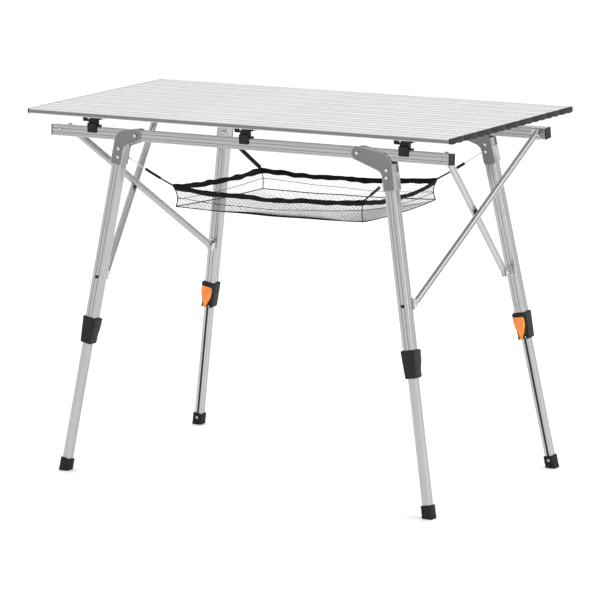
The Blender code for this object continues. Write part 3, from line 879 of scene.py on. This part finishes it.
# %% Levers
LEVER_TALL = 41.5 * MM
lever = box("lever", (22.6 * MM, 6.4 * MM, LEVER_TALL), (0, -LEVER_PIN_OUT, LEVER_PIN_UP + LEVER_TALL / 2 - 3.5 * MM))
edit(lever)
for up in (6, 12, 20, 30):
    cut((0, 0, LEVER_PIN_UP + up * MM), (0, 0, 1))
for up, share in ((-3.5, 0.38), (6, 0.40), (12, 0.62), (20, 0.88), (30, 0.98), (38, 0.88)):
    choose(lever, lambda middle, _: abs(middle.z - LEVER_PIN_UP - up * MM) < 0.3 * MM, "VERT")
    bpy.ops.transform.resize(value=(share, 1, 1))
choose(lever, lambda middle, normal: normal.y < -0.9 and middle.z > LEVER_PIN_UP + 6 * MM)
bpy.ops.mesh.inset(thickness=1.6 * MM)
bpy.ops.transform.translate(value=(0, -0.6 * MM, 0))
choose(lever, lambda middle, normal: abs(normal.z) > 0.9, "FACE")
bpy.ops.object.mode_set(mode="OBJECT")
soften(lever, 1.3 * MM, 3, 40)
knuckle = disc("knuckle", 3.6 * MM, 7.4 * MM, (0, -LEVER_PIN_OUT, LEVER_PIN_UP), (0, math.pi / 2, 0))
soften(knuckle, 0.5 * MM)
lever = joined("lever", [lever, knuckle])
finish_master(lever, 40)
for side, end in LEGS:
    leg = f"{side}_{end}"
    place(lever, f"lever_{leg}_moulding", leg_axes(side, end), f"lever_{leg}", "lever_orange", f"lever_{leg}")
forget(lever)
print("lever", round(LEVER_TALL * 1000, 1), "mm tall")

# %% [markdown]
# ## Feet
# A rubber cup covers the end of each leg and is cut level with the floor. Bisecting the finished copy along the floor
# and filling the cut gives the flat sole, whatever the leg's lean.

# %% Feet
foot = box("foot", (19 * MM, 17 * MM, 44 * MM), (0, 0, 1 * MM))
edit(foot)
choose(foot, lambda middle, normal: normal.z < -0.9)
bpy.ops.transform.resize(value=(1.02, 1.02, 1))
for up in (6.5, 8.0):
    cut((0, 0, up * MM), (0, 0, 1))
choose(foot, lambda middle, normal: abs(normal.z) < 0.5 and abs(middle.z - 7.25 * MM) < 0.5 * MM)
bpy.ops.mesh.extrude_region_shrink_fatten(TRANSFORM_OT_shrink_fatten={"value": -0.5 * MM})
bpy.ops.object.mode_set(mode="OBJECT")
soften(foot, 0.4 * MM, 2, 40)
carve(foot, box("socket", (16.2 * MM, 13.6 * MM, 40 * MM), (0, 0, 5.7 * MM + 20 * MM)))
finish_master(foot, 40)
badge = box("mark", (4.2 * MM, 0.9 * MM, 4.6 * MM), (0, -8.75 * MM, 15 * MM))
soften(badge, 0.3 * MM)
finish_master(badge)
for side, end in LEGS:
    leg = f"{side}_{end}"
    item = place(foot, f"foot_{leg}_cup", leg_axes(side, end), f"lower_leg_{leg}", "foot_rubber", f"foot_{leg}")
    edit(item)
    bpy.ops.mesh.select_all(action="SELECT")
    bpy.ops.mesh.bisect(plane_co=(0, 0, 0), plane_no=(0, 0, 1), clear_inner=True, use_fill=True)
    bpy.ops.object.mode_set(mode="OBJECT")
    place(badge, f"foot_{leg}_mark", leg_axes(side, end), f"lower_leg_{leg}", "lug_steel")
forget(foot, badge)
print("feet stand at", round(min(v.co.z for v in item.data.vertices), 5))

# %% [markdown]
# ## Braces
# A flat bar runs from the end of one rail down to the opposite leg, and its pair crosses it on a black spacer. Each
# end turns on a rivet, in a pressed lug on the leg and on a square plate under the rail.

# %% Brace frames
BRACE_OUT = -23.5 * MM
BRACE_STEP = 4.5 * MM


def brace_axes(side, end):
    """Across the bar, its thickness, and down along it from the rail."""
    other = "back" if side == "front" else "front"
    upper = Vector(joints[f"brace_{side}_{end}_swing"]["pos_m"])
    lower = leg_axes(other, end) @ Vector((0, BRACE_OUT, LUG_UP))
    along = lower - upper
    out = Vector((0, 1, 0)).cross(Vector((along.x, 0, along.z)).normalized())
    if out.x * ENDS[end] < 0:
        out.negate()
    direction = along.normalized()
    start = upper + out * BRACE_STEP * SIDES[side]
    return axes(start, direction.cross(out), out, direction), along.length


# %% Brace bars and rivets
small_rivet = rivet_master(3.0 * MM, 1.5 * MM)
for side, end in LEGS:
    matrix, length = brace_axes(side, end)
    body = f"brace_{side}_{end}"
    name = f"brace_{side}_{end}"
    grooves = [(f, 0, 4.2 * MM, 0.9 * MM) for f in ("+y", "-y")] + [(f, 0, 1.6 * MM, 0.3 * MM) for f in ("+x", "-x")]
    bar = tube("brace", 12 * MM, 7 * MM, -6 * MM, length + 6 * MM, None, grooves, 1.0 * MM)
    finish_master(bar)
    place(bar, f"{name}_profile", matrix, body, "frame_aluminium", name)
    forget(bar)
    for i, along in enumerate((0, length)):
        for way in (-1, 1):
            spot = Matrix.Translation((0, way * 2.7 * MM, along)) @ Matrix.Rotation(-way * math.pi / 2, 4, "X")
            place(small_rivet, f"{name}_rivet_{i + 1}_{'in' if way < 0 else 'out'}", matrix @ spot, body, "rivet_steel")
spacer = disc("spacer", 5.5 * MM, 1.9 * MM, (0, 0, 0), (math.pi / 2, 0, 0))
edit(spacer)
choose(spacer, lambda middle, normal: abs(normal.y) > 0.9)
bpy.ops.mesh.inset(thickness=1.5 * MM)
bpy.ops.object.mode_set(mode="OBJECT")
soften(spacer, 0.4 * MM)
finish_master(spacer)
for end in ENDS:
    matrix, length = brace_axes("back", end)
    middle = -matrix.translation.y / matrix.to_3x3().col[2].y
    move = Matrix.Translation((0, -BRACE_STEP, middle))
    place(spacer, f"brace_{end}_spacer", matrix @ move, f"brace_back_{end}", "black_plastic")
forget(spacer)
print("braces", round(length * 1000), "mm between rivets")

# %% Brace lugs on legs and rails
lug_base = box("lug", (18 * MM, 1.6 * MM, 20 * MM), (0, -9.9 * MM, LUG_UP))
flanges = []
for way in (-1, 1):
    flange = box("flange", (1.5 * MM, 17 * MM, 15 * MM), (way * 5.0 * MM, -18.2 * MM, LUG_UP))
    edit(flange)
    choose(flange, lambda middle, direction: middle.y < -20 * MM and abs(direction.x) > MM, "EDGE")
    bpy.ops.mesh.bevel(offset=5 * MM, segments=5)
    bpy.ops.object.mode_set(mode="OBJECT")
    flanges.append(soften(flange, 0.3 * MM))
soften(lug_base, 0.5 * MM)
lug = finish_master(joined("lug", [lug_base] + flanges))
lug_pin = finish_master(soften(disc("lug_pin", 1.8 * MM, 15 * MM, (0, BRACE_OUT, LUG_UP), (0, math.pi / 2, 0)), 0.3 * MM))
plate = box("plate", (19 * MM, 2.0 * MM, 19 * MM), (0, 0, 0))
edit(plate)
choose(plate, lambda middle, direction: abs(direction.y) > MM, "EDGE")
bpy.ops.mesh.bevel(offset=4 * MM, segments=4)
choose(plate, lambda middle, normal: normal.y < -0.9)
bpy.ops.mesh.inset(thickness=1.5 * MM)
bpy.ops.transform.translate(value=(0, 0.4 * MM, 0))
bpy.ops.object.mode_set(mode="OBJECT")
finish_master(soften(plate, 0.3 * MM))
stud = finish_master(soften(disc("stud", 3.2 * MM, 5 * MM, (0, -2.5 * MM, 0), (math.pi / 2, 0, 0)), 0.4 * MM))
for side, end in LEGS:
    leg = f"{side}_{end}"
    matrix = leg_axes(side, end)
    other = "back" if side == "front" else "front"
    shift = BRACE_STEP * SIDES[other] * 0.98
    move = Matrix.Translation((shift, 0, 0))
    place(lug, f"brace_lug_{leg}_fork", matrix @ move, f"leg_{leg}", "lug_steel", f"brace_lug_{leg}")
    place(lug_pin, f"brace_lug_{leg}_pin", matrix @ move, f"leg_{leg}", "rivet_steel")
    rail = rail_axes(side)
    size = reach(f"rail_{side}", rail)[1]
    base = axes(rail @ Vector((-1 * MM, -size.y - 1.2 * MM, ENDS[end] * BRACE_ALONG)), *[rail.to_3x3().col[i] for i in (2, 1, 0)])
    place(plate, f"rail_lug_{leg}_plate", base, f"{side}_rail", "lug_steel")
    place(stud, f"rail_lug_{leg}_stud", base, f"{side}_rail", "black_plastic")
forget(lug, lug_pin, plate, stud, rivet, big_rivet, small_rivet)
print("8 lugs")

# %% [markdown]
# ## Basket
# A net basket hangs from the brackets. Its rim is a doubled tape that sags between the corners, its walls pull in a
# little, and its floor sags. The net is a grid of squares: each square is poked and its own edges are dissolved, which
# leaves diamonds. The flat net is then bent onto the walls and the floor, and Wireframe turns its edges into threads.

# %% Basket shape
net_low, net_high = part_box("basket")
BASKET_HALF = {-1: net_high.y, 1: 123 * MM}
BASKET_RIM = {(-1, -1): 533.5 * MM, (-1, 1): 523.5 * MM, (1, -1): 531.6 * MM, (1, 1): 534.1 * MM}
BASKET_DEEP = 37 * MM
FLOOR_SAG = 14 * MM
ROUND = 110


def rounded(a, b):
    """A point of the square from -1 to 1, moved so that the square's outline gets round corners."""
    edge = max(abs(a), abs(b))
    if edge < 1e-6:
        return a, b
    along = (abs(a / edge) ** ROUND + abs(b / edge) ** ROUND) ** (-1 / ROUND)
    return a * along, b * along


def corner_height(a, b):
    """The rim's height between its four corners."""
    left = BASKET_RIM[-1, -1] * (1 - b) / 2 + BASKET_RIM[-1, 1] * (1 + b) / 2
    right = BASKET_RIM[1, -1] * (1 - b) / 2 + BASKET_RIM[1, 1] * (1 + b) / 2
    return left * (1 - a) / 2 + right * (1 + a) / 2


def rim_height(a, b):
    long_side = max(0.0, 1 - abs(a) ** 2.2) * abs(b) ** 8
    short_side = max(0.0, 1 - abs(b) ** 2.2) * abs(a) ** 8
    short_sag = 12 * MM if a > 0 else 5 * MM
    wave = 1.3 * MM * math.sin(9.0 * a + 2.2 * b) * (1 - min(abs(a), abs(b)))
    return corner_height(a, b) - 8 * MM * long_side - short_sag * short_side + wave


def basket_point(a, b, depth, grow=0.0):
    """depth 0 is the rim and 1 the bottom edge."""
    a, b = rounded(a, b)
    share = (a + 1) / 2
    half = BASKET_HALF[-1] * (1 - share) + BASKET_HALF[1] * share
    middle = (net_low.x + net_high.x) / 2
    long = (net_high.x - net_low.x) / 2
    pull = 1.016 - 0.016 * depth - 0.020 * math.sin(math.pi * min(depth, 1.0))
    edge = max(abs(a), abs(b))
    x = middle + a * long * pull + a * grow
    y = b * half * pull + b * grow
    top = rim_height(a, b)
    bottom = top * 0.35 + corner_height(a, b) * 0.65 - BASKET_DEEP
    sag = FLOOR_SAG * (1 - edge**2.6) if depth >= 1 else 0.0
    return Vector((x, y, top + (bottom - top) * min(depth, 1.0) - sag))


def around(share):
    """A point on the square's outline, share 0 to 1 round it by length."""
    long, short = 390.0, 264.0
    turn = (share % 1.0) * 2 * (long + short)
    for corner, way, length in (((-1, -1), (1, 0), long), ((1, -1), (0, 1), short), ((1, 1), (-1, 0), long), ((-1, 1), (0, -1), short)):
        if turn <= length:
            step = 2 * turn / length
            return corner[0] + way[0] * step, corner[1] + way[1] * step
        turn -= length
    return -1, -1


print("basket", [round(v * 1000) for v in net_high - net_low], "mm")


# %% Net
def diamond_net(name, columns, rows):
    """A flat net of diamonds in the unit square."""
    deselect()
    bpy.ops.mesh.primitive_grid_add(x_subdivisions=columns, y_subdivisions=rows, size=1, location=(0.5, 0.5, 0))
    item = named(name)
    edit(item)
    bpy.ops.mesh.select_all(action="SELECT")
    bpy.ops.mesh.poke()
    edge = 0.001 / max(columns, rows)

    def square_side(middle, direction):
        inside = edge < middle.x < 1 - edge and edge < middle.y < 1 - edge
        return inside and (abs(direction.x) < edge or abs(direction.y) < edge)

    choose(item, square_side, "EDGE")
    bpy.ops.mesh.dissolve_edges(use_verts=False)
    bpy.ops.object.mode_set(mode="OBJECT")
    return item


def bend(item, rule):
    for vert in item.data.vertices:
        vert.co = rule(vert.co.x, vert.co.y)
    edit(item)
    bpy.ops.mesh.select_all(action="SELECT")
    bpy.ops.mesh.remove_doubles(threshold=1e-5)
    bpy.ops.mesh.normals_make_consistent(inside=False)
    bpy.ops.object.mode_set(mode="OBJECT")


CELL = 7.2 * MM
FLOOR_CELL = 11.0 * MM
wall_net = diamond_net("wall_net", round(1.24 / CELL), round(BASKET_DEEP / CELL))
bend(wall_net, lambda u, v: basket_point(*around(u), v))
floor_net = diamond_net("floor_net", round(0.38 / FLOOR_CELL), round(0.26 / FLOOR_CELL))
bend(floor_net, lambda u, v: basket_point(2 * u - 1, 2 * v - 1, 1.0))
basket_pieces = []
for item in (wall_net, floor_net):
    modify(item, "WIREFRAME", thickness=0.48 * MM, use_even_offset=False, use_boundary=True)
    finish_master(item, 60)
    print(item.name, len(item.data.polygons), "faces")
basket_pieces.append(place(wall_net, "basket_wall_net", Matrix(), "front_rail", "basket_net", "basket"))
basket_pieces.append(place(floor_net, "basket_floor_net", Matrix(), "front_rail", "basket_net"))
forget(wall_net, floor_net)

# %% [markdown]
# The rim tape is a closed band, two layers folded over the net's edge, with a stitched look from its finish. Thin cords
# sew the corners and the bottom edge. They are curves with a round bevel, turned into meshes.

# %% Tape and seams
def band(name, steps, upper, lower, thick, wobble):
    """A closed band round the basket between two depths."""
    deselect()
    bpy.ops.mesh.primitive_grid_add(x_subdivisions=steps, y_subdivisions=2, size=1, location=(0.5, 0.5, 0))
    item = named(name)

    def rule(u, v):
        shake = noise.noise(Vector((math.cos(2 * math.pi * u) * 9, math.sin(2 * math.pi * u) * 9, v * 2)))
        point = basket_point(*around(u), lower + (upper - lower) * v, shake * wobble)
        point.z += shake * wobble * 0.8
        return point

    bend(item, rule)
    modify(item, "SOLIDIFY", thickness=thick, offset=0)
    soften(item, thick * 0.3)
    return finish_master(item, 50)


def thread(name, points, radius, closed=False):
    path = bpy.data.curves.new(name, "CURVE")
    path.dimensions = "3D"
    path.bevel_depth = radius
    path.bevel_resolution = 2
    path.use_fill_caps = True
    line = path.splines.new("POLY")
    line.points.add(len(points) - 1)
    for spot, point in zip(line.points, points):
        spot.co = (*point, 1)
    line.use_cyclic_u = closed
    item = bpy.data.objects.new(name, path)
    bpy.context.scene.collection.objects.link(item)
    deselect()
    item.select_set(True)
    bpy.context.view_layer.objects.active = item
    bpy.ops.object.convert(target="MESH")
    item = bpy.context.object
    edit(item)
    bpy.ops.mesh.select_all(action="SELECT")
    bpy.ops.mesh.remove_doubles(threshold=1e-5)
    bpy.ops.mesh.normals_make_consistent(inside=False)
    bpy.ops.object.mode_set(mode="OBJECT")
    return finish_master(item, 60)


rim = band("rim", 260, 0.20, -0.07, 2.6 * MM, 2.6 * MM)
basket_pieces.append(place(rim, "basket_rim_tape", Matrix(), "front_rail", "basket_tape"))
hem = thread("hem", [basket_point(*around(i / 240), 1.0) for i in range(240)], 0.9 * MM, True)
basket_pieces.append(place(hem, "basket_bottom_seam", Matrix(), "front_rail", "basket_tape"))
fold = thread("fold", [basket_point(*around(i / 240), 0.55 + 0.1 * math.sin(i / 17)) for i in range(240)], 0.5 * MM, True)
basket_pieces.append(place(fold, "basket_wall_seam", Matrix(), "front_rail", "basket_tape"))
forget(rim, hem, fold)
for a, b in ((-1, -1), (1, -1), (1, 1), (-1, 1)):
    corner = thread("corner", [basket_point(a, b, i / 10) for i in range(11)], 0.9 * MM)
    name = f"basket_corner_seam_{'left' if a < 0 else 'right'}_{'front' if b < 0 else 'back'}"
    basket_pieces.append(place(corner, name, Matrix(), "front_rail", "basket_tape"))
    forget(corner)
for item in basket_pieces:
    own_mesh(item)
print(len(basket_pieces), "basket pieces")

# %% [markdown]
# Four wire hooks with black sleeves tie the corners to the lower rivets of the brackets. Each one sags a little on its
# way from the basket corner to the rivet.

# %% Hooks
HOOK_DROP = {"left": 47 * MM, "right": 49 * MM}
for side, end in LEGS:
    leg = f"{side}_{end}"
    matrix = leg_axes(side, end)
    pivot = matrix.inverted() @ Vector(joints[f"fold_{leg}"]["pos_m"])
    rivet_spot = matrix @ Vector((-9 * MM, -11.5 * MM, pivot.z - HOOK_DROP[end]))
    corner = basket_point(ENDS[end] * 0.99, SIDES[side] * 0.99, 0.0)
    span = rivet_spot - corner
    middle = corner + span * 0.5 - Vector((0, 0, 3 * MM))
    wire_points = []
    for i in range(17):
        t = i / 16
        wire_points.append(corner * (1 - t) ** 2 + middle * 2 * t * (1 - t) + rivet_spot * t**2)
    wire = thread("wire", wire_points, 1.1 * MM)
    strap = leg == "back_left"
    sleeve = thread("sleeve", wire_points[1:14] if strap else wire_points[5:11], 4.0 * MM if strap else 2.7 * MM)
    cord = thread("cord", wire_points[:7], 1.5 * MM)
    side_way = span.cross(Vector((0, 0, 1))).normalized()
    loop_points = [
        rivet_spot + (side_way * math.cos(t) + Vector((0, 0, 1)) * math.sin(t)) * 3.5 * MM
        for t in (i * math.pi / 8 for i in range(16))
    ]
    loop = thread("loop", loop_points, 0.8 * MM, True)
    for master, name, finish in ((wire, "wire", "rivet_steel"), (sleeve, "sleeve", "black_plastic"), (cord, "cord", "basket_tape"), (loop, "eye", "rivet_steel")):
        item = bpy.data.objects.new(f"basket_hook_{leg}_{name}", master.data.copy())
        bpy.context.scene.collection.objects.link(item)
        item.data.materials.append(FINISH[finish])
        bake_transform(item)
    forget(wire, sleeve, cord, loop)
print("4 hooks")

# %% [markdown]
# ## Finish

# %% Finish
import json
